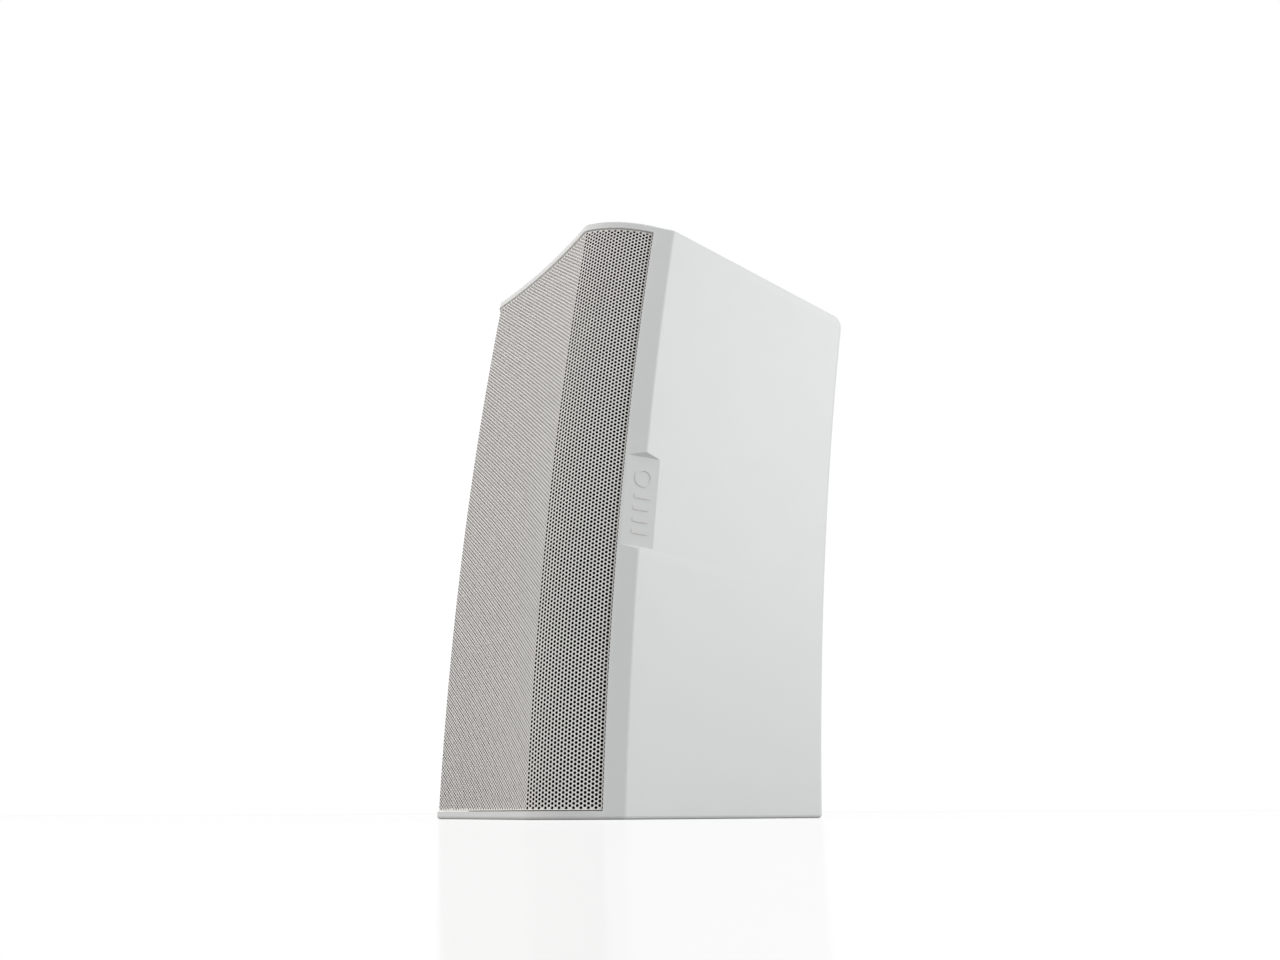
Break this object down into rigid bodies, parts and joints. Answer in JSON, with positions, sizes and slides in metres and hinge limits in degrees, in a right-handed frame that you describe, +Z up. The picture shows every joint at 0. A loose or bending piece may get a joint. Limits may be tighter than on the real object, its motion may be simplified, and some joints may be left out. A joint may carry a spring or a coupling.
{
  "type": "loudspeaker",
  "caption": "White two-way loudspeaker with a bowed moulded cabinet, wraparound perforated steel grille and rear screw terminals.",
  "frame": {"origin": "mouth of the threaded insert in the middle of the flat bottom, which is the resting surface", "axes": "+Z up, -Y towards the grille, +X to the listener's right hand side when facing the grille"},
  "size_m": [0.2764, 0.2761, 0.462],
  "materials": {
    "moulding": "fine satin texture, white",
    "emblem": "satin, white",
    "grille_paint": "fine powder coat, white",
    "scrim_cloth": "open knit acoustic cloth, black",
    "brass": "machined",
    "black_plastic": "moulded, fine texture",
    "black_rubber": "matte",
    "black_screws": "black zinc",
    "bright_steel": "zinc plated",
    "basket_paint": "satin black",
    "cone_paper": "coated pulp",
    "spider_cloth": "resin treated cotton",
    "former_film": "amber film",
    "copper_wire": "enamelled copper, packed as brass",
    "plated_steel": "plated",
    "ferrite": "sintered",
    "phenolic": "laminate",
    "dome_metal": "anodised",
    "damping_felt": "soft fibre",
    "board_green": "solder mask",
    "capacitor_film": "film wrap",
    "resistor_cement": "cement",
    "core_steel": "varnished laminations",
    "terminal_green": "moulded nylon",
    "wire_red": "soft sleeve",
    "wire_blue": "soft sleeve",
    "wire_grey": "soft sleeve"
  },
  "bodies": {
    "enclosure": {"cabinet_shell": "moulding", "rear_inserts": "brass", "yoke_inserts": "brass", "badge_emblems": "emblem", "front_baffle": "black_plastic", "baffle_gasket": "black_rubber", "baffle_screws": "black_screws", "grille_sockets": "black_rubber", "woofer_basket": "basket_paint", "woofer_gasket": "black_rubber", "woofer_screws": "black_screws", "woofer_surround": "black_rubber", "woofer_spider": "spider_cloth", "woofer_top_plate": "plated_steel", "woofer_magnet": "ferrite", "woofer_yoke": "plated_steel", "woofer_terminal_strip": "phenolic", "waveguide": "black_plastic", "waveguide_screws": "black_screws", "tweeter_top_plate": "plated_steel", "tweeter_magnet": "ferrite", "tweeter_yoke": "plated_steel", "tweeter_rear_cap": "black_plastic", "tweeter_terminal_strip": "phenolic", "port_tubes": "black_plastic", "damping_pads": "damping_felt", "crossover_board": "board_green", "board_standoffs": "bright_steel", "crossover_inductors": "copper_wire", "crossover_capacitors": "capacitor_film", "crossover_resistors": "resistor_cement", "transformer_core": "core_steel", "transformer_winding": "copper_wire", "transformer_bracket": "bright_steel", "transformer_screws": "bright_steel", "input_cup": "black_plastic", "input_gasket": "black_rubber", "input_screws": "bright_steel", "terminal_header": "terminal_green", "tap_switch": "black_plastic", "tap_nut": "bright_steel", "woofer_wires": "wire_red", "tweeter_wires": "wire_blue", "input_wires": "wire_grey"},
    "grille_panel": {"grille": "grille_paint", "grille_scrim": "scrim_cloth", "grille_studs": "bright_steel"},
    "woofer_mover": {"woofer_cone": "cone_paper", "woofer_dust_cap": "cone_paper", "woofer_coil_former": "former_film", "woofer_coil_winding": "copper_wire"},
    "tweeter_mover": {"tweeter_dome": "dome_metal"},
    "plug": {"terminal_plug": "terminal_green", "terminal_plug_screws": "bright_steel"},
    "tap_selector": {"tap_shaft": "bright_steel", "tap_knob": "black_plastic"}
  },
  "joints": [
    {"name": "grille_pull", "type": "slide", "parent": "enclosure", "child": "grille_panel", "axis": [0, -0.9952, 0.0976], "range_m": [0, 0.08]},
    {"name": "woofer_travel", "type": "slide", "parent": "enclosure", "child": "woofer_mover", "axis": [0, -0.9952, 0.0976], "range_m": [-0.005, 0.005], "stiffness_N_per_m": 900, "deforming": ["woofer_surround", "woofer_spider"]},
    {"name": "tweeter_travel", "type": "slide", "parent": "enclosure", "child": "tweeter_mover", "axis": [0, -0.9952, 0.0976], "range_m": [-0.0003, 0.0003], "stiffness_N_per_m": 200},
    {"name": "plug_pull", "type": "slide", "parent": "enclosure", "child": "plug", "axis": [0, 0.9988, -0.0489], "range_m": [0, 0.03]},
    {"name": "tap_turn", "type": "hinge", "parent": "enclosure", "child": "tap_selector", "pos_m": [0.025, 0.11891, 0.0593], "axis": [0, 0.9988, -0.0489], "range_deg": [-75, 75]}
  ]
}
